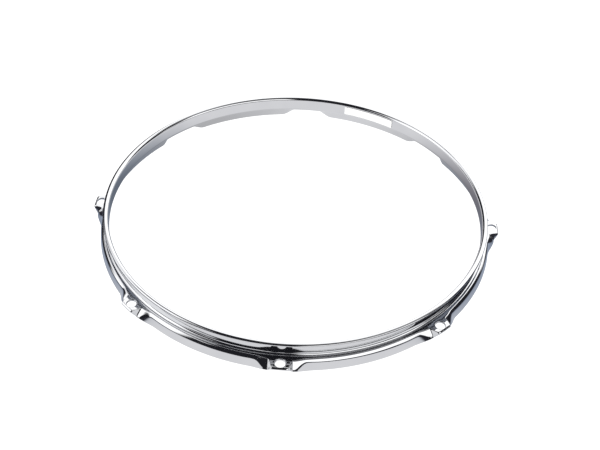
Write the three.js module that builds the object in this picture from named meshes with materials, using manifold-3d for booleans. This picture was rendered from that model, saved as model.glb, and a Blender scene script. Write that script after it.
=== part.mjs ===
// Pressed steel hoop of a 14 inch drum, with eight ears for tension rods, playing side up.
// One sheet is rolled into a ring and bent three times: out into a flange round the top, out again
// into a ledge that bears on the drum head's own hoop, and down into a skirt that hides that hoop.
// The skirt is drawn out into an ear at each tension rod. A blank paper label sticks to the inner wall.
// Lengths are in millimetres. Z is the drum's axis, and the foot of the skirt lies at Z = 0.

import * as THREE from 'three';
import { mergeVertices } from 'three/addons/utils/BufferGeometryUtils.js';
import Module from 'manifold-3d';

const { degToRad, smoothstep } = THREE.MathUtils;

// Sheet and ring
const SHEET_THICKNESS = 1.6;
const WALL_INNER_RADIUS = 179.8;
const HOOP_HEIGHT = 26.4;

// Flange: bent outwards from the wall's inner face, and falling a little towards its edge
const FLANGE_BEND_RADIUS = 3;
const FLANGE_REACH = 4.2;
const FLANGE_FALL = 0.15;

// Ledge, from the wall's outer face to the skirt's outer face
const LEDGE_HEIGHT = 11.5;
const LEDGE_WIDTH = 6.8;
const LEDGE_FILLET_RADIUS = 2.5;
const SKIRT_BEND_RADIUS = 4.2;
const SKIRT_DRAFT = 1;

// Ears: a level pad round the hole, with a tighter bend to its lip than the plain skirt has
const EAR_COUNT = 8;
const PAD_SIDE_LAND = 2.2;
const PAD_FRONT_LAND = 1.8;
const PAD_BEND_RADIUS = 2;
const PAD_LIP = 2.1;
const LIP_LAND = 0.3;

// Shoulders: on each side of a pad the skirt's corner is drawn down and its foot out and up
const SHOULDER_RUN = 4.4;
const SHOULDER_LEDGE_REACH = 1.5;
const SHOULDER_CORNER_REACH = 4.2;
const SHOULDER_FOOT_REACH = 6;
const SHOULDER_FOOT_LIFT = 4.2;
const SHOULDER_LIP = 1.75;
const SHOULDER_SAG = 1;

// How far along the ring the shoulder's corner, sag and foot take to run back into the plain skirt
const CORNER_RUN = 12;
const SAG_RUN = 25;
const FOOT_RUN = 17.5;

// Tension rod holes
const ROD_SETOUT = 11.8;
const ROD_HOLE_DIAMETER = 8.6;
const ROD_HOLE_CHAMFER = 0.6;
const CUT_OVERRUN = 1;

// Blank label on the wall, between the two bends
const LABEL_LENGTH = 56.5;
const LABEL_THICKNESS = 0.2;
const LABEL_MARGIN = 0.2;
const LABEL_GAP = 0.3;
const LABEL_BEARING = degToRad(67.3);

// Facets
const FLANGE_STEPS = 3;
const FILLET_STEPS = 2;
const SKIRT_BEND_STEPS = 2;
const SHOULDER_STEPS = 5;
const CORNER_STEPS = 5;
const FOOT_STEPS = 2;
const SAG_STEPS = 1;
const PLAIN_STEPS = 3;
const TURN_STEPS = 96;
const HOLE_SIDES = 24;
const LABEL_STEPS = 12;
const ROUNDING_SHARE = 0.4;
const TANGENT_SHARE = 0.45;
const DRIFT_STEP = 0.1;

// Radii and heights that follow
const wallOuterRadius = WALL_INNER_RADIUS + SHEET_THICKNESS;
const skirtOuterRadius = wallOuterRadius + LEDGE_WIDTH;
const rodCircleRadius = WALL_INNER_RADIUS + ROD_SETOUT;
const flangeStart = HOOP_HEIGHT - FLANGE_BEND_RADIUS;
const filletEnd = LEDGE_HEIGHT + LEDGE_FILLET_RADIUS;
const holeRadius = ROD_HOLE_DIAMETER / 2;
const padReach = rodCircleRadius + holeRadius + PAD_FRONT_LAND - skirtOuterRadius;

// Distances along the rod circle from an ear's middle that follow
const padHalfWidth = holeRadius + PAD_SIDE_LAND;
const shoulderHalfWidth = padHalfWidth + SHOULDER_RUN;
const cornerEnd = shoulderHalfWidth + CORNER_RUN;
const sagEnd = shoulderHalfWidth + SAG_RUN;
const footEnd = shoulderHalfWidth + FOOT_RUN;

const wasm = await Module();
wasm.setup();

// Points on an arc of a radial section
function arc(centreRadius, centreHeight, radius, fromAngle, toAngle, steps) {
  return Array.from({ length: steps + 1 }, (_, i) => {
    const angle = fromAngle + (toAngle - fromAngle) * i / Math.max(steps, 1);
    return [
      centreRadius + radius * Math.cos(angle),
      centreHeight + radius * Math.sin(angle),
    ];
  });
}

// The share that is left of a change running from one distance to another
function left(distance, from, to) {
  return 1 - smoothstep(distance, from, to);
}

// The radius of the skirt's bend at a distance along the rod circle from an ear's middle
function bendRadius(distance) {
  return SKIRT_BEND_RADIUS + (PAD_BEND_RADIUS - SKIRT_BEND_RADIUS) * left(distance, padHalfWidth, sagEnd);
}

// The section's three turning points at a distance along the rod circle from an ear's middle:
// the knee where the level ledge ends, the corner above the skirt or lip, and the foot. Knee and
// corner lie where a chamfer that touches the middle of the bend meets the ledge and the skirt.
function earForm(distance) {
  const padLeft = left(distance, padHalfWidth, shoulderHalfWidth);
  const cornerLeft = left(distance, shoulderHalfWidth, cornerEnd);
  const sagLeft = left(distance, shoulderHalfWidth, sagEnd);
  const footLeft = left(distance, shoulderHalfWidth, footEnd);
  const setback = bendRadius(distance) * (1 - Math.tan(Math.PI / 8));
  const padLift = LEDGE_HEIGHT - PAD_LIP - SHOULDER_FOOT_LIFT;
  const dip = LEDGE_HEIGHT - setback - SHOULDER_FOOT_LIFT - SHOULDER_LIP - SHOULDER_SAG;
  return {
    knee: [
      skirtOuterRadius - setback + SHOULDER_LEDGE_REACH * cornerLeft
        + (padReach - SHOULDER_LEDGE_REACH) * padLeft,
      LEDGE_HEIGHT,
    ],
    corner: [
      skirtOuterRadius + SHOULDER_CORNER_REACH * cornerLeft
        + (padReach - SHOULDER_CORNER_REACH) * padLeft,
      LEDGE_HEIGHT - setback - (dip * cornerLeft + SHOULDER_SAG * sagLeft) * (1 - padLeft),
    ],
    foot: [
      skirtOuterRadius + SKIRT_DRAFT * (1 - footLeft) + SHOULDER_FOOT_REACH * footLeft
        + (padReach - SHOULDER_FOOT_REACH) * padLeft,
      SHOULDER_FOOT_LIFT * footLeft + padLift * padLeft,
    ],
  };
}

// A face of the flange, bent at this radius from the wall to the level and on to the edge
function flangeFace(radius) {
  const centreRadius = WALL_INNER_RADIUS + FLANGE_BEND_RADIUS;
  return [
    ...arc(centreRadius, flangeStart, radius, Math.PI, Math.PI / 2, FLANGE_STEPS),
    [WALL_INNER_RADIUS + FLANGE_REACH, flangeStart + radius - FLANGE_FALL],
  ];
}

const minus = ([a, b], [c, d]) => [a - c, b - d];

const along = ([a, b], [c, d], length) => [a + c * length, b + d * length];

const unit = ([a, b]) => [a / Math.hypot(a, b), b / Math.hypot(a, b)];

// A rounded turn of the section's polyline, as points on a parabola between two tangent points
// that lie at most this far from the turn
function rounded(before, point, after, most) {
  const back = minus(before, point);
  const ahead = minus(after, point);
  const tangent = Math.min(
    most,
    TANGENT_SHARE * Math.hypot(...back),
    TANGENT_SHARE * Math.hypot(...ahead),
  );
  const start = along(point, unit(back), tangent);
  const end = along(point, unit(ahead), tangent);
  return Array.from({ length: SKIRT_BEND_STEPS + 1 }, (_, i) => {
    const t = i / SKIRT_BEND_STEPS;
    return [0, 1].map((axis) => (1 - t) ** 2 * start[axis]
      + 2 * t * (1 - t) * point[axis] + t ** 2 * end[axis]);
  });
}

// Where the lower faces of two straight stretches of sheet meet. Each stretch is given by a point
// on its upper face, its unit direction and its thickness as the radial section shows it.
function lowerTurn([p, u, s], [q, v, t]) {
  const first = along(p, [u[1], -u[0]], s);
  const second = along(q, [v[1], -v[0]], t);
  const gap = minus(second, first);
  const reach = (gap[0] * v[1] - gap[1] * v[0]) / (u[0] * v[1] - u[1] * v[0]);
  return along(first, u, reach);
}

// The same below a turn that may be slight, where the two lower faces may miss each other: the
// sheet's mean thickness is set off square to both
function lowerSlightTurn([, u, s], [turn, v, t]) {
  const offset = (s + t) / (2 + 2 * (u[0] * v[0] + u[1] * v[1]));
  return along(turn, [u[1] + v[1], -u[0] - v[0]], offset);
}

// A straight stretch of the section between two turning points. Where the stretch drifts sideways
// along the ring, the radial section cuts the sheet at a slant, so it looks thicker there.
function stretch(distance, from, to) {
  const here = earForm(distance);
  const next = earForm(distance + DRIFT_STEP);
  const last = earForm(distance - DRIFT_STEP);
  const direction = unit(minus(here[to], here[from]));
  const drift = [from, to].map((key) => minus(next[key], last[key]))
    .reduce((sum, [a, b]) => sum + (a * direction[1] - b * direction[0]), 0) / (4 * DRIFT_STEP);
  return [here[from], direction, SHEET_THICKNESS * Math.hypot(1, drift)];
}

// The sheet's radial section: its outer and upper face down to the foot, then its inner and lower
// face back up, without the flange
function ledgeSection(distance) {
  const { knee, corner, foot } = earForm(distance);
  const filletCentre = wallOuterRadius + LEDGE_FILLET_RADIUS;
  const down = 3 * Math.PI / 2;
  const start = [filletCentre, LEDGE_HEIGHT];
  const ledge = [start, [1, 0], SHEET_THICKNESS];
  const slope = stretch(distance, 'knee', 'corner');
  const skirt = stretch(distance, 'corner', 'foot');
  const [, [, drop], thickness] = skirt;
  const [lipRadius, lipHeight] = lowerSlightTurn(slope, skirt);
  const tangent = ROUNDING_SHARE * bendRadius(distance);
  return [
    ...arc(filletCentre, filletEnd, LEDGE_FILLET_RADIUS, Math.PI, down, FILLET_STEPS),
    ...rounded(start, knee, corner, tangent),
    ...rounded(knee, corner, foot, tangent),
    foot,
    [foot[0] + thickness / drop, foot[1]],
    [lipRadius, Math.max(lipHeight, foot[1] + LIP_LAND)],
    lowerTurn(ledge, slope),
    ...arc(filletCentre, filletEnd, LEDGE_FILLET_RADIUS + SHEET_THICKNESS,
      down, Math.PI, FILLET_STEPS),
  ];
}

// Distances after start, up to and with end
function stations(start, end, steps) {
  return Array.from({ length: steps }, (_, i) => start + (end - start) * (i + 1) / steps);
}

// Distances from an ear's middle to half way to the next ear, close together where the form bends
function halfPitchStations() {
  const halfPitch = Math.PI * rodCircleRadius / EAR_COUNT;
  return [
    padHalfWidth,
    ...stations(padHalfWidth, shoulderHalfWidth, SHOULDER_STEPS),
    ...stations(shoulderHalfWidth, cornerEnd, CORNER_STEPS),
    ...stations(cornerEnd, footEnd, FOOT_STEPS),
    ...stations(footEnd, sagEnd, SAG_STEPS),
    ...stations(sagEnd, halfPitch, PLAIN_STEPS),
  ];
}

// The ring, lofted round the axis before the holes are pierced. The flange is the same all the way
// round, so its rows have fewer points than the rows of the ledge and skirt.
function ringGeometry() {
  const half = halfPitchStations();
  const pitch = [...half.slice(0, -1).map((distance) => -distance).reverse(), 0, ...half];
  const turns = Array.from({ length: EAR_COUNT }, (_, ear) => pitch.map((distance) => ({
    angle: 2 * Math.PI * ear / EAR_COUNT + distance / rodCircleRadius,
    section: ledgeSection(Math.abs(distance)),
  }))).flat();
  const first = turns[0].angle;
  const evenly = Array.from({ length: TURN_STEPS }, (_, i) => first + 2 * Math.PI * i / TURN_STEPS);
  const flangeRow = (point) => evenly.map((angle) => ({ angle, point }));
  const rows = [
    ...flangeFace(FLANGE_BEND_RADIUS - SHEET_THICKNESS).reverse().map(flangeRow),
    ...turns[0].section.map((_, i) => turns.map(({ angle, section }) => (
      { angle, point: section[i] }))),
    ...flangeFace(FLANGE_BEND_RADIUS).map(flangeRow),
  ];
  const positions = [];
  for (const row of rows) {
    row.start = positions.length / 3;
    for (const { angle, point: [radius, height] } of row) {
      positions.push(radius * Math.cos(angle), radius * Math.sin(angle), height);
    }
  }
  const indices = rows.flatMap((row, i) => strip(row, rows[(i + 1) % rows.length]));
  const geometry = new THREE.BufferGeometry();
  geometry.setAttribute('position', new THREE.Float32BufferAttribute(positions, 3));
  geometry.setIndex(indices);
  return geometry;
}

// Triangles between two closed rows of points that start at the same angle
function strip(near, far) {
  const angleAt = (row, i) => (i < row.length ? row[i].angle : row[0].angle + 2 * Math.PI);
  const vertex = (row, i) => row.start + i % row.length;
  const triangles = [];
  let a = 0;
  let b = 0;
  while (a < near.length || b < far.length) {
    const farFirst = b < far.length
      && (a === near.length || angleAt(far, b + 1) <= angleAt(near, a + 1));
    triangles.push(vertex(near, a), vertex(far, b),
      farFirst ? vertex(far, b + 1) : vertex(near, a + 1));
    if (farFirst) {
      b += 1;
    } else {
      a += 1;
    }
  }
  return triangles;
}

function toSolid(source) {
  const bare = source.clone();
  bare.deleteAttribute('normal');
  bare.deleteAttribute('uv');
  const merged = mergeVertices(bare);
  return new wasm.Manifold(new wasm.Mesh({
    numProp: 3,
    vertProperties: new Float32Array(merged.getAttribute('position').array),
    triVerts: new Uint32Array(merged.getIndex().array),
  }));
}

function toGeometry(solid) {
  const mesh = solid.getMesh();
  const geometry = new THREE.BufferGeometry();
  geometry.setAttribute('position', new THREE.BufferAttribute(mesh.vertProperties, 3));
  geometry.setIndex(new THREE.BufferAttribute(mesh.triVerts, 1));
  geometry.computeVertexNormals();
  return geometry;
}

// A round cutter on the rod circle, standing from a height, for the ear with this number
function rodCutter(ear, lowerRadius, upperRadius, fromHeight, toHeight) {
  const geometry = new THREE.CylinderGeometry(
    upperRadius, lowerRadius, toHeight - fromHeight, HOLE_SIDES,
  );
  geometry.rotateX(Math.PI / 2);
  geometry.translate(rodCircleRadius, 0, (fromHeight + toHeight) / 2);
  geometry.rotateZ(2 * Math.PI * ear / EAR_COUNT);
  return toSolid(geometry);
}

// The hoop: each hole goes straight through its pad, with its upper edge chamfered
function hoopGeometry() {
  const underside = LEDGE_HEIGHT - SHEET_THICKNESS;
  let hoop = toSolid(ringGeometry());
  for (let ear = 0; ear < EAR_COUNT; ear += 1) {
    hoop = hoop
      .subtract(rodCutter(ear, holeRadius, holeRadius,
        underside - CUT_OVERRUN, LEDGE_HEIGHT + CUT_OVERRUN))
      .subtract(rodCutter(ear, holeRadius, holeRadius + ROD_HOLE_CHAMFER + CUT_OVERRUN,
        LEDGE_HEIGHT - ROD_HOLE_CHAMFER, LEDGE_HEIGHT + CUT_OVERRUN));
  }
  return toGeometry(hoop);
}

// The label: a strip curved like the wall, as high as the wall's straight part allows. Its gap is
// taken from the middle of the wall's flat facets, which pass closer to the axis than their edges.
function labelGeometry() {
  const outerRadius = WALL_INNER_RADIUS * Math.cos(Math.PI / TURN_STEPS) - LABEL_GAP;
  const innerRadius = outerRadius - LABEL_THICKNESS;
  const halfAngle = LABEL_LENGTH / WALL_INNER_RADIUS / 2;
  const outline = new THREE.Shape();
  outline.absarc(0, 0, outerRadius, LABEL_BEARING - halfAngle, LABEL_BEARING + halfAngle, false);
  outline.absarc(0, 0, innerRadius, LABEL_BEARING + halfAngle, LABEL_BEARING - halfAngle, true);
  const height = flangeStart - filletEnd - 2 * LABEL_MARGIN;
  const geometry = new THREE.ExtrudeGeometry(outline, {
    depth: height,
    bevelEnabled: false,
    curveSegments: LABEL_STEPS,
  });
  geometry.translate(0, 0, filletEnd + LABEL_MARGIN);
  return geometry;
}

function piece(name, geometry, material) {
  const mesh = new THREE.Mesh(geometry, material);
  mesh.name = name;
  return mesh;
}

const chrome = new THREE.MeshStandardMaterial({ color: 0xd9dbde, metalness: 1, roughness: 0.08 });
const paper = new THREE.MeshStandardMaterial({ color: 0xf4f4f2, metalness: 0, roughness: 0.7 });

const drumHoop = new THREE.Group();
drumHoop.add(piece('pressed_hoop', hoopGeometry(), chrome));
drumHoop.add(piece('blank_label', labelGeometry(), paper));

export default drumHoop;
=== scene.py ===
"""Looks of the chromed drum hoop: a fine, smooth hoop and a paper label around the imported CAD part.

The hoop's form repeats the part's own dimensions and bends, in finer steps and with rounded edges.
Its flange and shoulders reach a little further out, as in the photo. Lengths are in millimetres
until they become vertices, which are in metres.
"""

import math

import bpy
import numpy as np
from mathutils import Matrix, Vector


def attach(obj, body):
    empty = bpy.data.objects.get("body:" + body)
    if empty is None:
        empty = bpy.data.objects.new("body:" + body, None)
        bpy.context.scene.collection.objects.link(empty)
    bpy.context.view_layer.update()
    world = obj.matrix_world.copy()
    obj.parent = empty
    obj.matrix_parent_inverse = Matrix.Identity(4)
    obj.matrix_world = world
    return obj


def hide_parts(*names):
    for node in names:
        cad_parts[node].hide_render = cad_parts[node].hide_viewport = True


METRES = 0.001

# Sheet and ring, as in the part
SHEET_THICKNESS = 1.6
WALL_INNER_RADIUS = 179.8
HOOP_HEIGHT = 26.4
FLANGE_BEND_RADIUS = 3
FLANGE_FALL = 0.15
LEDGE_HEIGHT = 11.5
LEDGE_WIDTH = 6.8
LEDGE_FILLET_RADIUS = 2.5
SKIRT_BEND_RADIUS = 4.2
SKIRT_DRAFT = 1

# Ears and their rod holes, as in the part
EAR_COUNT = 8
PAD_HALF_WIDTH = 6.5
PAD_REACH = 9.5
PAD_BEND_RADIUS = 2
PAD_LIP = 2.1
LIP_LAND = 0.3
SHOULDER_HALF_WIDTH = 10.9
SHOULDER_LEDGE_REACH = 1.5
SHOULDER_FOOT_REACH = 6
SHOULDER_FOOT_LIFT = 4.2
SHOULDER_LIP = 1.75
SHOULDER_SAG = 1
CORNER_RUN = 12
FOOT_RUN = 17.5
SAG_RUN = 25
ROD_SETOUT = 11.8
ROD_HOLE_DIAMETER = 8.6
ROD_HOLE_CHAMFER = 0.6
CUT_OVERRUN = 1

# Label, as in the part
LABEL_LENGTH = 56.5
LABEL_THICKNESS = 0.2
LABEL_MARGIN = 0.2
LABEL_GAP = 0.3
LABEL_BEARING = math.radians(67.3)
LABEL_FACETS = 96

# Where the photo asks for a little more than the part has: its flange reaches 4.2 mm out and its
# shoulder's corner 4.2 mm. Both stay well inside its outline over the ears.
FLANGE_REACH = 5.2
SHOULDER_CORNER_REACH = 5

# How far from a corner its rounding starts. The flange's rolled edge has one reach along the top
# and one down the end. A bend's two corners take a share of its radius, and no rounding takes more
# than a share of the flat beside it.
FLANGE_ROLL_ALONG = 1.9
FLANGE_ROLL_DOWN = 1.45
FLANGE_UNDER_ROUNDING = 0.25
EDGE_ROUNDING = 0.3
INNER_ROUNDING = 0.35
SHOULDER_ROUNDING = 3.2
BEND_ROUNDING_SHARE = 0.4
LARGEST_ROUNDING_SHARE = 0.45
LABEL_CORNER_RADIUS = 0.9

# Points that hold the flats flat: how far from a bend, and at most what share of the flat
HOLD = 0.25
HOLD_SHARE = 0.3

# Steps round the bends of the section
FLANGE_STEPS = 14
FLANGE_ROLL_STEPS = 7
FLANGE_UNDER_STEPS = 8
FILLET_STEPS = 8
TURN_STEPS = 6
EDGE_STEPS = 2

# Steps along the ring: from an ear's middle to the end of its pad, its shoulder, its corner, its
# foot and its sag, and on to half way to the next ear
PAD_STEPS = 4
SHOULDER_STEPS = 16
CORNER_STEPS = 12
FOOT_STEPS = 8
SAG_STEPS = 5
PLAIN_STEPS = 11

# How far to either side of a section the slant of its sheet is measured
DRIFT_STEP = 0.1

# Steps round a rod hole and its edge, and along the label and round its corners
HOLE_SIDES = 64
HOLE_EDGE_STEPS = 5
LABEL_STEPS = 55
LABEL_CORNER_STEPS = 5

# Edges sharper than this stay sharp when a piece is shaded smooth
SHARP_ANGLE = math.radians(40)

WALL_OUTER_RADIUS = WALL_INNER_RADIUS + SHEET_THICKNESS
SKIRT_OUTER_RADIUS = WALL_OUTER_RADIUS + LEDGE_WIDTH
ROD_CIRCLE_RADIUS = WALL_INNER_RADIUS + ROD_SETOUT
FLANGE_START = HOOP_HEIGHT - FLANGE_BEND_RADIUS
FILLET_END = LEDGE_HEIGHT + LEDGE_FILLET_RADIUS
CORNER_END = SHOULDER_HALF_WIDTH + CORNER_RUN
FOOT_END = SHOULDER_HALF_WIDTH + FOOT_RUN
SAG_END = SHOULDER_HALF_WIDTH + SAG_RUN

# A bend is a flat between two corners, the knee and the corner. Each lies this share of the bend's
# radius from the place where one sharp corner would be.
SETBACK_SHARE = 1 - math.tan(math.pi / 8)

# Chrome: its clouds and waves are noise of a scale and a detail. The clouds take its tint from one
# colour to another over a part of their range, and the waves have a strength and a height in
# metres.
CHROME_CLOUDS = (45, 5)
CHROME_WAVES = (60, 1)
CHROME_TINT_RANGE = (0.3, 0.7)
CHROME_TINTS = ((0.61, 0.615, 0.63), (0.64, 0.645, 0.655))
CHROME_BUMP = (1, 0.00003)

# Turned polishing lines in the chrome: how often they change along the ring, per radian, and
# across it, per metre, and their detail. Where they meet the clouds the chrome is worn, which
# takes its roughness from one value to another.
LINES_ALONG = 12
LINES_ACROSS = 2500
LINES_DETAIL = 3
CHROME_WEAR_RANGE = (0, 0.5)
CHROME_ROUGHNESS = (0.03, 0.1)

# Label stock, in the same way, with fibres for waves and no lines
PAPER_CLOUDS = (160, 3)
PAPER_FIBRES = (1800, 4)
PAPER_TINT_RANGE = (0.35, 0.65)
PAPER_TINTS = ((0.9, 0.9, 0.89), (0.95, 0.95, 0.945))
PAPER_BUMP = (0.5, 0.00001)
PAPER_ROUGHNESS = (0.45, 0.65)

# The white that the camera and the paper see all round
STUDIO_WHITE = 1.25

# Floor, in metres, and its colours as the chrome sees it: white in the middle, with painted shade at
# the sides inside the hoop and outside it, nearly black far out at the sides, and a painted shadow of
# the hoop, a share of black, under the rim
FLOOR_HALF_WIDTH = 20
FLOOR_DROP = 0.0001
FLOOR_WHITE = (1.0, 1.0, 1.02)
INNER_LEFT_SHADE = (0.2, 0.24, 0.31)
INNER_RIGHT_SHADE = (0.25, 0.24, 0.28)
OUTER_SHADE = (0.37, 0.42, 0.52)
FAR_SHADE = (0.03, 0.03, 0.04)
# How dark the painted shadow under the rim is, as a share of black
RIM_SHADE = 0.34

# Where each shade of the floor sets in and where it is full, in metres: from left to right, to
# either side of the middle, and out from the axis. The rim's shade is full between two radii, and
# grows to either side of the place where it is least.
LEFT_TO_RIGHT = (-0.05, 0.05)
INNER_SIDES = (0.08, 0.18)
OUTER_SIDES = (0.1, 0.19)
FAR_SIDES = (0.1, 0.15)
INSIDE_TO_OUTSIDE = (0.17, 0.185)
FAR_OUT = (0.205, 0.235)
RIM_FROM_INSIDE = (0.164, 0.176)
RIM_FROM_OUTSIDE = (0.191, 0.187)
RIM_MIDDLE = 0.035
RIM_SIDES = (0, 0.145)

# Softboxes round the hoop: bearing of the middle, half width, lowest and highest elevation and
# edge softness in degrees, then the light's colour. The studio is dark between them.
SOFTBOXES = [
    (355, 68, 54, 72, 6, (0.42, 0.42, 0.43)),
    (84, 16, 50, 68, 4, (1.2, 1.2, 1.2)),
    (165, 60, 38, 50, 3, (1.2, 1.2, 1.22)),
    (163, 28, 48, 66, 4, (1.3, 1.3, 1.32)),
    (69, 39, 3, 54, 4, (1.8, 1.8, 1.8)),
    (190, 24, 1, 50, 5, (1.8, 1.8, 1.8)),
    (158, 14, 14, 42, 4, (1.4, 1.4, 1.42)),
    (313, 35, 16, 45, 4, (1.8, 1.8, 1.8)),
    (345, 16, 7, 18, 4, (1.3, 1.3, 1.3)),
]
STUDIO_DARK = (0.02, 0.02, 0.025)

# Camera: where it stands, what it looks at and where its view begins, in metres, how it is rolled,
# and its lens and sensor in millimetres
CAMERA_PLACE = (0.02885, -0.7188, 0.6251)
CAMERA_AIM = (0.004651, 0.000187, -0.002331)
CAMERA_START = 0.01
CAMERA_ROLL = 0.04633
CAMERA_LENS = 57.885
SENSOR_WIDTH = 36


def arc(centre, radius, start, end, steps):
    """Points on an arc about centre, from one angle to another."""
    angles = np.linspace(start, end, steps + 1)
    return [(centre[0] + radius * math.cos(a), centre[1] + radius * math.sin(a)) for a in angles]


def unit(vector):
    return vector / np.hypot(*vector)


def parabola(before, point, after, back_reach, ahead_reach, steps):
    """A rounded corner at point, from back_reach before it to ahead_reach after it."""
    before, point, after = map(np.asarray, (before, point, after))
    start = point + unit(before - point) * back_reach
    end = point + unit(after - point) * ahead_reach
    turn = []
    for t in np.linspace(0, 1, steps + 1):
        turn.append(tuple((1 - t) ** 2 * start + 2 * t * (1 - t) * point + t**2 * end))
    return turn


def rounded(before, point, after, most, steps):
    """An even rounded corner, as far as the flats beside it leave room."""
    room = min(math.dist(before, point), math.dist(point, after))
    reach = min(most, LARGEST_ROUNDING_SHARE * room)
    return parabola(before, point, after, reach, reach, steps)


def left(distance, start, end):
    """The share that is left of a change running smoothly from one distance to another."""
    t = min(max((distance - start) / (end - start), 0), 1)
    return 1 - t * t * (3 - 2 * t)


def bend_radius(distance):
    """The skirt's bend is tighter at the pads."""
    change = PAD_BEND_RADIUS - SKIRT_BEND_RADIUS
    return SKIRT_BEND_RADIUS + change * left(abs(distance), PAD_HALF_WIDTH, SAG_END)


def shoulder_share(distance):
    """1 at an ear's shoulders, falling to 0 on its pad and where the corner meets the skirt."""
    distance = abs(distance)
    pad_left = left(distance, PAD_HALF_WIDTH, SHOULDER_HALF_WIDTH)
    return (1 - pad_left) * left(distance, SHOULDER_HALF_WIDTH, CORNER_END)


def ear_form(distance):
    """Knee, corner and foot of the section at a distance along the rod circle from an ear."""
    distance = abs(distance)
    pad_left = left(distance, PAD_HALF_WIDTH, SHOULDER_HALF_WIDTH)
    corner_left = left(distance, SHOULDER_HALF_WIDTH, CORNER_END)
    foot_left = left(distance, SHOULDER_HALF_WIDTH, FOOT_END)
    sag_left = left(distance, SHOULDER_HALF_WIDTH, SAG_END)
    setback = SETBACK_SHARE * bend_radius(distance)
    pad_lift = LEDGE_HEIGHT - PAD_LIP - SHOULDER_FOOT_LIFT
    full_dip = LEDGE_HEIGHT - setback - SHOULDER_FOOT_LIFT - SHOULDER_LIP - SHOULDER_SAG
    dip = (full_dip * corner_left + SHOULDER_SAG * sag_left) * (1 - pad_left)
    knee = (
        SKIRT_OUTER_RADIUS - setback + SHOULDER_LEDGE_REACH * corner_left
        + (PAD_REACH - SHOULDER_LEDGE_REACH) * pad_left,
        LEDGE_HEIGHT,
    )
    corner = (
        SKIRT_OUTER_RADIUS + SHOULDER_CORNER_REACH * corner_left
        + (PAD_REACH - SHOULDER_CORNER_REACH) * pad_left,
        LEDGE_HEIGHT - setback - dip,
    )
    foot = (
        SKIRT_OUTER_RADIUS + SKIRT_DRAFT * (1 - foot_left) + SHOULDER_FOOT_REACH * foot_left
        + (PAD_REACH - SHOULDER_FOOT_REACH) * pad_left,
        SHOULDER_FOOT_LIFT * foot_left + pad_lift * pad_left,
    )
    return np.array([knee, corner, foot])


def stretch(distance, start, end):
    """A straight stretch of the section: a point, its direction, and the sheet's thickness there.

    Where the stretch drifts sideways along the ring, a radial section cuts the sheet at a slant.
    """
    here = ear_form(distance)
    change = ear_form(distance + DRIFT_STEP) - ear_form(distance - DRIFT_STEP)
    direction = unit(here[end] - here[start])
    mean_change = (change[start] + change[end]) / 2
    sideways = mean_change[0] * direction[1] - mean_change[1] * direction[0]
    drift = sideways / (2 * DRIFT_STEP)
    return here[start], direction, SHEET_THICKNESS * math.hypot(1, drift)


def lower_turn(first, second):
    """Where the lower faces of two straight stretches of sheet meet."""
    (p, u, s), (q, v, t) = first, second
    p = np.asarray(p) + np.array([u[1], -u[0]]) * s
    q = np.asarray(q) + np.array([v[1], -v[0]]) * t
    gap = q - p
    reach = (gap[0] * v[1] - gap[1] * v[0]) / (u[0] * v[1] - u[1] * v[0])
    return p + u * reach


def lower_slight_turn(first, second):
    """The same below a turn that may be slight, by the sheet's mean thickness."""
    (_, u, s), (turn, v, t) = first, second
    offset = (s + t) / (2 + 2 * u @ v)
    return turn + np.array([u[1] + v[1], -u[0] - v[0]]) * offset


def joined(bends):
    """Bends in a closed row, with points on each flat that keep it flat close to the bends."""
    points = []
    for bend, following in zip(bends, bends[1:] + bends[:1]):
        points.extend(map(np.asarray, bend))
        start, end = np.asarray(bend[-1]), np.asarray(following[0])
        share = min(HOLD / math.dist(start, end), HOLD_SHARE)
        points.append(start + (end - start) * share)
        points.append(end + (start - end) * share)
    return np.array(points)


def flange_bends():
    """The flange's bends, from the inside of the wall over its edge to the outside."""
    centre = (WALL_INNER_RADIUS + FLANGE_BEND_RADIUS, FLANGE_START)
    under_radius = FLANGE_BEND_RADIUS - SHEET_THICKNESS
    top = arc(centre, FLANGE_BEND_RADIUS, math.pi, math.pi / 2, FLANGE_STEPS)
    under = arc(centre, under_radius, math.pi / 2, math.pi, FLANGE_UNDER_STEPS)
    edge_top = (WALL_INNER_RADIUS + FLANGE_REACH, HOOP_HEIGHT - FLANGE_FALL)
    edge_under = (edge_top[0], edge_top[1] - SHEET_THICKNESS)
    roll = (FLANGE_ROLL_ALONG, FLANGE_ROLL_DOWN)
    return [
        top,
        parabola(top[-1], edge_top, edge_under, *roll, FLANGE_ROLL_STEPS),
        rounded(edge_top, edge_under, under[0], FLANGE_UNDER_ROUNDING, EDGE_STEPS),
        under,
    ]


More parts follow.
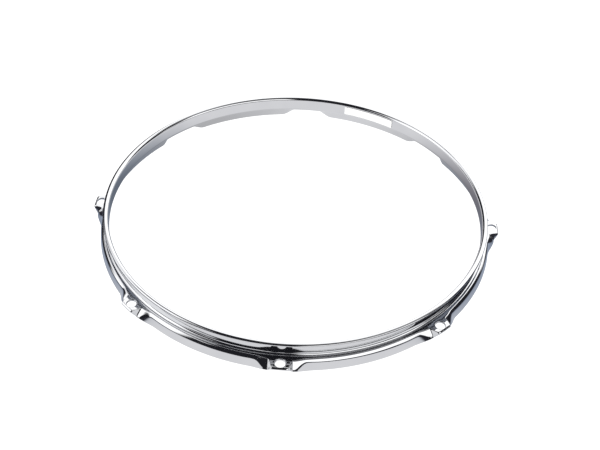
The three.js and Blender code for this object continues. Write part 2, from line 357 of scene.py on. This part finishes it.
def section(distance):
    """The sheet's closed radial section at a distance along the rod circle from an ear."""
    down = 3 * math.pi / 2
    centre = (WALL_OUTER_RADIUS + LEDGE_FILLET_RADIUS, FILLET_END)
    under_radius = LEDGE_FILLET_RADIUS + SHEET_THICKNESS
    fillet = arc(centre, LEDGE_FILLET_RADIUS, math.pi, down, FILLET_STEPS)
    under_fillet = arc(centre, under_radius, down, math.pi, FILLET_STEPS)
    ledge_start = np.array([centre[0], LEDGE_HEIGHT])
    knee, corner, foot = ear_form(distance)
    ledge = (ledge_start, np.array([1.0, 0.0]), SHEET_THICKNESS)
    slope = stretch(distance, 0, 1)
    skirt = stretch(distance, 1, 2)
    under_knee = lower_turn(ledge, slope)
    under_corner = lower_slight_turn(slope, skirt)
    under_corner[1] = max(under_corner[1], foot[1] + LIP_LAND)
    _, skirt_direction, skirt_thickness = skirt
    inner_foot = np.array([foot[0] + skirt_thickness / skirt_direction[1], foot[1]])
    turn = BEND_ROUNDING_SHARE * bend_radius(distance)
    corner_turn = turn + (SHOULDER_ROUNDING - turn) * shoulder_share(distance)
    return joined(flange_bends() + [
        fillet,
        rounded(ledge_start, knee, corner, turn, TURN_STEPS),
        rounded(knee, corner, foot, corner_turn, TURN_STEPS),
        rounded(corner, foot, inner_foot, EDGE_ROUNDING, EDGE_STEPS),
        rounded(foot, inner_foot, under_corner, EDGE_ROUNDING, EDGE_STEPS),
        rounded(inner_foot, under_corner, under_knee, INNER_ROUNDING, EDGE_STEPS),
        rounded(under_corner, under_knee, under_fillet[0], INNER_ROUNDING, EDGE_STEPS),
        under_fillet,
    ])


def stations():
    """Distances from an ear's middle to half way to the next, close where the form bends."""
    half_pitch = math.pi * ROD_CIRCLE_RADIUS / EAR_COUNT
    ends = [0, PAD_HALF_WIDTH, SHOULDER_HALF_WIDTH, CORNER_END, FOOT_END, SAG_END, half_pitch]
    steps = [PAD_STEPS, SHOULDER_STEPS, CORNER_STEPS, FOOT_STEPS, SAG_STEPS, PLAIN_STEPS]
    distances = [0.0]
    for start, end, count in zip(ends, ends[1:], steps):
        distances.extend(np.linspace(start, end, count + 1)[1:])
    return distances


def turned(sections, angles):
    """Radial sections set at their angles round the axis, as points in metres."""
    sections, angles = np.asarray(sections), np.asarray(angles)[:, None]
    out, up = sections[..., 0], sections[..., 1]
    return METRES * np.stack([out * np.cos(angles), out * np.sin(angles), up], axis=-1)


def lofted(rows, closed):
    """Vertices and faces of a solid through closed rows of points: a ring, or one with two ends."""
    count, points = rows.shape[:2]
    faces = []
    for i in range(count if closed else count - 1):
        near, far = i * points, (i + 1) % count * points
        for j in range(points):
            after = (j + 1) % points
            faces.append((near + j, near + after, far + after, far + j))
    if not closed:
        faces.append(tuple(reversed(range(points))))
        faces.append(tuple(range((count - 1) * points, count * points)))
    return rows.reshape(-1, 3), faces


def mesh_object(name, vertices, faces):
    mesh = bpy.data.meshes.new(name)
    mesh.from_pydata([tuple(v) for v in vertices], [], faces)
    mesh.update()
    piece = bpy.data.objects.new(name, mesh)
    bpy.context.scene.collection.objects.link(piece)
    return piece


def shade_smooth(mesh):
    mesh.shade_smooth()
    mesh.set_sharp_from_angle(angle=SHARP_ANGLE)


def make_ring():
    half = stations()
    distances = [-d for d in half[-2:0:-1]] + half
    sections = [section(d) for d in distances]
    angles = []
    for ear in range(EAR_COUNT):
        for distance in distances:
            angles.append(2 * math.pi * ear / EAR_COUNT + distance / ROD_CIRCLE_RADIUS)
    return mesh_object("chromed_hoop", *lofted(turned(sections * EAR_COUNT, angles), closed=True))


def make_rod_cutter():
    """One mesh of turned plugs, one for every ear, wider where the hole's edge is rounded."""
    radius = ROD_HOLE_DIAMETER / 2
    rounding = (radius + ROD_HOLE_CHAMFER, LEDGE_HEIGHT - ROD_HOLE_CHAMFER)
    profile = [(radius, LEDGE_HEIGHT - SHEET_THICKNESS - CUT_OVERRUN)]
    profile += arc(rounding, ROD_HOLE_CHAMFER, math.pi, math.pi / 2, HOLE_EDGE_STEPS)
    profile += [(rounding[0], LEDGE_HEIGHT + CUT_OVERRUN)]
    round_hole = np.linspace(0, 2 * math.pi, HOLE_SIDES, endpoint=False)
    vertices, faces = [], []
    for ear in range(EAR_COUNT):
        bearing = 2 * math.pi * ear / EAR_COUNT
        centre = turned([[(ROD_CIRCLE_RADIUS, 0)]], [bearing])
        sides = centre + turned([profile] * HOLE_SIDES, bearing + round_hole)
        plug, plug_faces = lofted(sides.swapaxes(0, 1), closed=False)
        faces.extend(tuple(len(vertices) + i for i in face) for face in plug_faces)
        vertices.extend(plug)
    return mesh_object("rod_cutter", vertices, faces)


def make_hoop():
    hoop, cutter = make_ring(), make_rod_cutter()
    cut = hoop.modifiers.new("rod holes", "BOOLEAN")
    cut.operation = "DIFFERENCE"
    cut.solver = "MANIFOLD"
    cut.object = cutter
    graph = bpy.context.evaluated_depsgraph_get()
    mesh = bpy.data.meshes.new_from_object(hoop.evaluated_get(graph))
    hoop.modifiers.clear()
    hoop.data = mesh
    bpy.data.objects.remove(cutter)
    mesh.materials.clear()
    shade_smooth(mesh)
    return hoop


def label_columns(height):
    """Places along the label and half its height there, which is less at the rounded corners."""
    straight = LABEL_LENGTH / 2 - LABEL_CORNER_RADIUS
    centre = (straight, height / 2 - LABEL_CORNER_RADIUS)
    end = arc(centre, LABEL_CORNER_RADIUS, math.pi / 2, 0, LABEL_CORNER_STEPS)
    start = [(-x, half_height) for x, half_height in reversed(end)]
    inner = np.linspace(-straight, straight, LABEL_STEPS + 1)[1:-1]
    return start + [(x, height / 2) for x in inner] + end


def make_label():
    """A curved strip with rounded corners, standing off the wall by the part's gap."""
    outer = WALL_INNER_RADIUS * math.cos(math.pi / LABEL_FACETS) - LABEL_GAP
    inner = outer - LABEL_THICKNESS
    low, high = FILLET_END + LABEL_MARGIN, FLANGE_START - LABEL_MARGIN
    middle = (low + high) / 2
    sections, angles = [], []
    for x, half_height in label_columns(high - low):
        bottom, top = middle - half_height, middle + half_height
        sections.append([(outer, bottom), (inner, bottom), (inner, top), (outer, top)])
        angles.append(LABEL_BEARING + x / WALL_INNER_RADIUS)
    label = mesh_object("paper_label", *lofted(turned(sections, angles), closed=False))
    shade_smooth(label.data)
    return label


def feed(tree, node, inputs):
    """Links a node's inputs to sockets or sets them to values, and gives the node back."""
    for key, value in inputs.items():
        if isinstance(value, bpy.types.NodeSocket):
            tree.links.new(value, node.inputs[key])
        else:
            node.inputs[key].default_value = value
    return node


def node_math(tree, operation, *values):
    """The output of a Math node whose inputs are sockets or numbers."""
    node = tree.nodes.new("ShaderNodeMath")
    node.operation = operation
    return feed(tree, node, dict(enumerate(values))).outputs[0]


def node_length(tree, x, y):
    """The length of a horizontal vector."""
    squares = [node_math(tree, "MULTIPLY", side, side) for side in (x, y)]
    return node_math(tree, "SQRT", node_math(tree, "ADD", *squares))


def node_range(tree, value, source=(0, 1), target=(0, 1), curve="LINEAR"):
    """A value moved from one range onto another, and held at its ends."""
    node = tree.nodes.new("ShaderNodeMapRange")
    node.interpolation_type = curve
    ends = dict(zip(("From Min", "From Max", "To Min", "To Max"), (*source, *target)))
    return feed(tree, node, {"Value": value, **ends}).outputs["Result"]


def node_ramp(tree, value, source):
    """From 0 at the start of a range smoothly to 1 at its end."""
    return node_range(tree, value, source, curve="SMOOTHSTEP")


def node_mix(tree, factor, first, second):
    """A mix of two colours, each a socket or a tuple."""
    node = tree.nodes.new("ShaderNodeMix")
    node.data_type = "RGBA"
    first, second = [(*c, 1) if isinstance(c, tuple) else c for c in (first, second)]
    return feed(tree, node, {0: factor, 6: first, 7: second}).outputs[2]


def node_noise(tree, place, scale, detail):
    """The value of noise at a place."""
    node = tree.nodes.new("ShaderNodeTexNoise")
    return feed(tree, node, {"Vector": place, "Scale": scale, "Detail": detail}).outputs["Fac"]


def node_bump(tree, height, strength, distance):
    """The normal of a surface with these heights."""
    inputs = {"Height": height, "Strength": strength, "Distance": distance}
    return feed(tree, tree.nodes.new("ShaderNodeBump"), inputs).outputs["Normal"]


def node_split(tree, kind, output):
    """The three parts of a vector that a new node of this kind gives out."""
    split = tree.nodes.new("ShaderNodeSeparateXYZ")
    tree.links.new(tree.nodes.new(kind).outputs[output], split.inputs[0])
    return split.outputs


def turned_lines(tree):
    """Noise drawn out round the hoop's axis, as the polishing wheel leaves it."""
    x, y, z = node_split(tree, "ShaderNodeTexCoord", "Object")
    along = node_math(tree, "MULTIPLY", node_math(tree, "ARCTAN2", y, x), LINES_ALONG)
    out = node_math(tree, "MULTIPLY", node_length(tree, x, y), LINES_ACROSS)
    up = node_math(tree, "MULTIPLY", z, LINES_ACROSS)
    place = feed(tree, tree.nodes.new("ShaderNodeCombineXYZ"), {"X": along, "Y": out, "Z": up})
    return node_noise(tree, place.outputs["Vector"], 1, LINES_DETAIL)


def material(name):
    """A new material, its node tree, its shader, and places that stay fixed to the piece."""
    made = bpy.data.materials.new(name)
    made.use_nodes = True
    tree = made.node_tree
    place = tree.nodes.new("ShaderNodeTexCoord").outputs["Object"]
    return made, tree, tree.nodes["Principled BSDF"], place


def chrome_material():
    """Polished chrome over pressed steel: faint clouds and waves, and fine turned lines."""
    made, tree, shader, place = material("polished_chrome")
    clouds = node_noise(tree, place, *CHROME_CLOUDS)
    waves = node_noise(tree, place, *CHROME_WAVES)
    worn = node_math(tree, "MULTIPLY", clouds, turned_lines(tree))
    feed(tree, shader, {
        "Metallic": 1,
        "Base Color": node_mix(tree, node_range(tree, clouds, CHROME_TINT_RANGE), *CHROME_TINTS),
        "Roughness": node_range(tree, worn, CHROME_WEAR_RANGE, CHROME_ROUGHNESS),
        "Normal": node_bump(tree, waves, *CHROME_BUMP),
    })
    return made


def paper_material():
    """Coated white label stock: a faint cloudiness, fine fibres in the surface, a dull sheen."""
    made, tree, shader, place = material("label_stock")
    clouds = node_noise(tree, place, *PAPER_CLOUDS)
    fibres = node_noise(tree, place, *PAPER_FIBRES)
    feed(tree, shader, {
        "Base Color": node_mix(tree, node_range(tree, clouds, PAPER_TINT_RANGE), *PAPER_TINTS),
        "Roughness": node_range(tree, clouds, target=PAPER_ROUGHNESS),
        "Normal": node_bump(tree, fibres, *PAPER_BUMP),
    })
    return made


def cleared_tree(owner):
    """The empty node tree of a material or world."""
    owner.use_nodes = True
    owner.node_tree.nodes.clear()
    return owner.node_tree


def white_but_in_chrome(tree, kind, colour, output_kind):
    """Shows the camera and the paper an even white, and the chrome the colour."""
    seen_in_chrome = feed(tree, tree.nodes.new(kind), {"Color": colour})
    white = feed(tree, tree.nodes.new(kind), {"Color": (1, 1, 1, 1), "Strength": STUDIO_WHITE})
    path = tree.nodes.new("ShaderNodeLightPath").outputs
    dull = node_math(tree, "MAXIMUM", path["Is Camera Ray"], path["Is Diffuse Ray"])
    inputs = {0: dull, 1: seen_in_chrome.outputs[0], 2: white.outputs[0]}
    mix = feed(tree, tree.nodes.new("ShaderNodeMixShader"), inputs)
    feed(tree, tree.nodes.new(output_kind), {"Surface": mix.outputs[0]})


def floor_colour(tree):
    """White in the middle, with painted shade at the sides that differs inside and outside the hoop.

    A painted shadow of the hoop, a darker band, runs under the rim, and the sides are nearly black
    further out.
    """
    x, y, _ = node_split(tree, "ShaderNodeNewGeometry", "Position")
    side = node_math(tree, "ABSOLUTE", x)
    radius = node_length(tree, x, y)
    # Painted shade at the sides of the floor, inside the hoop and outside it
    rightward = node_ramp(tree, x, LEFT_TO_RIGHT)
    inner_shade = node_mix(tree, rightward, INNER_LEFT_SHADE, INNER_RIGHT_SHADE)
    inner = node_mix(tree, node_ramp(tree, side, INNER_SIDES), FLOOR_WHITE, inner_shade)
    outer = node_mix(tree, node_ramp(tree, side, OUTER_SIDES), FLOOR_WHITE, OUTER_SHADE)
    near = node_mix(tree, node_ramp(tree, radius, INSIDE_TO_OUTSIDE), inner, outer)
    # Painted shadow of the hoop on the floor under its rim
    rim_ends = [node_ramp(tree, radius, ends) for ends in (RIM_FROM_INSIDE, RIM_FROM_OUTSIDE)]
    off_middle = node_math(tree, "ABSOLUTE", node_math(tree, "SUBTRACT", x, RIM_MIDDLE))
    rim_sides = node_ramp(tree, off_middle, RIM_SIDES)
    rim = node_math(tree, "MULTIPLY", node_math(tree, "MULTIPLY", *rim_ends), rim_sides)
    near = node_mix(tree, node_math(tree, "MULTIPLY", rim, RIM_SHADE), near, (0, 0, 0))
    far_out, far_aside = node_ramp(tree, radius, FAR_OUT), node_ramp(tree, side, FAR_SIDES)
    return node_mix(tree, node_math(tree, "MULTIPLY", far_out, far_aside), near, FAR_SHADE)


def make_floor():
    made = bpy.data.materials.new("studio_floor")
    tree = cleared_tree(made)
    white_but_in_chrome(tree, "ShaderNodeEmission", floor_colour(tree), "ShaderNodeOutputMaterial")
    made.cycles.emission_sampling = "NONE"
    half, low = FLOOR_HALF_WIDTH, -FLOOR_DROP
    corners = [(-half, -half, low), (half, -half, low), (half, half, low), (-half, half, low)]
    floor = mesh_object("studio_floor", corners, [(0, 1, 2, 3)])
    floor.data.materials.append(made)


def softbox_mask(tree, direction, level, box):
    """1 in the directions of a softbox, falling to 0 over its soft edges."""
    bearing, half_width, low, high, soft = np.radians(box)
    x, y, z = direction
    along_x = node_math(tree, "MULTIPLY", x, math.cos(bearing))
    along_y = node_math(tree, "MULTIPLY", y, math.sin(bearing))
    facing = node_math(tree, "DIVIDE", node_math(tree, "ADD", along_x, along_y), level)
    across = node_ramp(tree, facing, np.cos([half_width + soft, half_width - soft]))
    above = node_ramp(tree, z, np.sin([low - soft, low + soft]))
    below = node_ramp(tree, z, np.sin([high + soft, high - soft]))
    return node_math(tree, "MULTIPLY", across, node_math(tree, "MULTIPLY", above, below))


def make_world():
    """Soft studio light: softboxes in a dark room, as the chrome sees them."""
    world = bpy.data.worlds.new("studio")
    tree = cleared_tree(world)
    direction = node_split(tree, "ShaderNodeTexCoord", "Generated")
    level = node_length(tree, *direction[:2])
    colour = STUDIO_DARK
    for *box, light in SOFTBOXES:
        colour = node_mix(tree, softbox_mask(tree, direction, level, box), colour, light)
    white_but_in_chrome(tree, "ShaderNodeBackground", colour, "ShaderNodeOutputWorld")
    world.cycles.sampling_method = "NONE"
    bpy.context.scene.world = world


def make_camera():
    place, aim = Vector(CAMERA_PLACE), Vector(CAMERA_AIM)
    forward = (aim - place).normalized()
    right = forward.cross(Vector((0, 0, 1))).normalized()
    up = right.cross(forward)
    across = right * math.cos(CAMERA_ROLL) + up * math.sin(CAMERA_ROLL)
    upright = up * math.cos(CAMERA_ROLL) - right * math.sin(CAMERA_ROLL)
    data = bpy.data.cameras.new("photo_camera")
    data.lens = CAMERA_LENS
    data.sensor_width = SENSOR_WIDTH
    data.sensor_fit = "HORIZONTAL"
    data.clip_start = CAMERA_START
    camera = bpy.data.objects.new("photo_camera", data)
    bpy.context.scene.collection.objects.link(camera)
    camera.matrix_world = Matrix(
        [(across[i], upright[i], -forward[i], place[i]) for i in range(3)] + [(0, 0, 0, 1)]
    )
    bpy.context.scene.camera = camera


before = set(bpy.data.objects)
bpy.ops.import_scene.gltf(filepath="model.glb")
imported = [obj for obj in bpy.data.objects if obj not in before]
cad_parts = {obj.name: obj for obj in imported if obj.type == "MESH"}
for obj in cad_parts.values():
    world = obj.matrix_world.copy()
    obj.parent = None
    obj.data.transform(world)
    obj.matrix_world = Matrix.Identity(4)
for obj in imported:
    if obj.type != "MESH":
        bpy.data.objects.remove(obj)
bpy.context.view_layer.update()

make_camera()
hoop = make_hoop()
hoop.data.materials.append(chrome_material())
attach(hoop, "root")
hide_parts("pressed_hoop")

label = make_label()
label.data.materials.append(paper_material())
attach(label, "root")
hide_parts("blank_label")

make_floor()
make_world()
bpy.context.scene.view_settings.view_transform = "Standard"
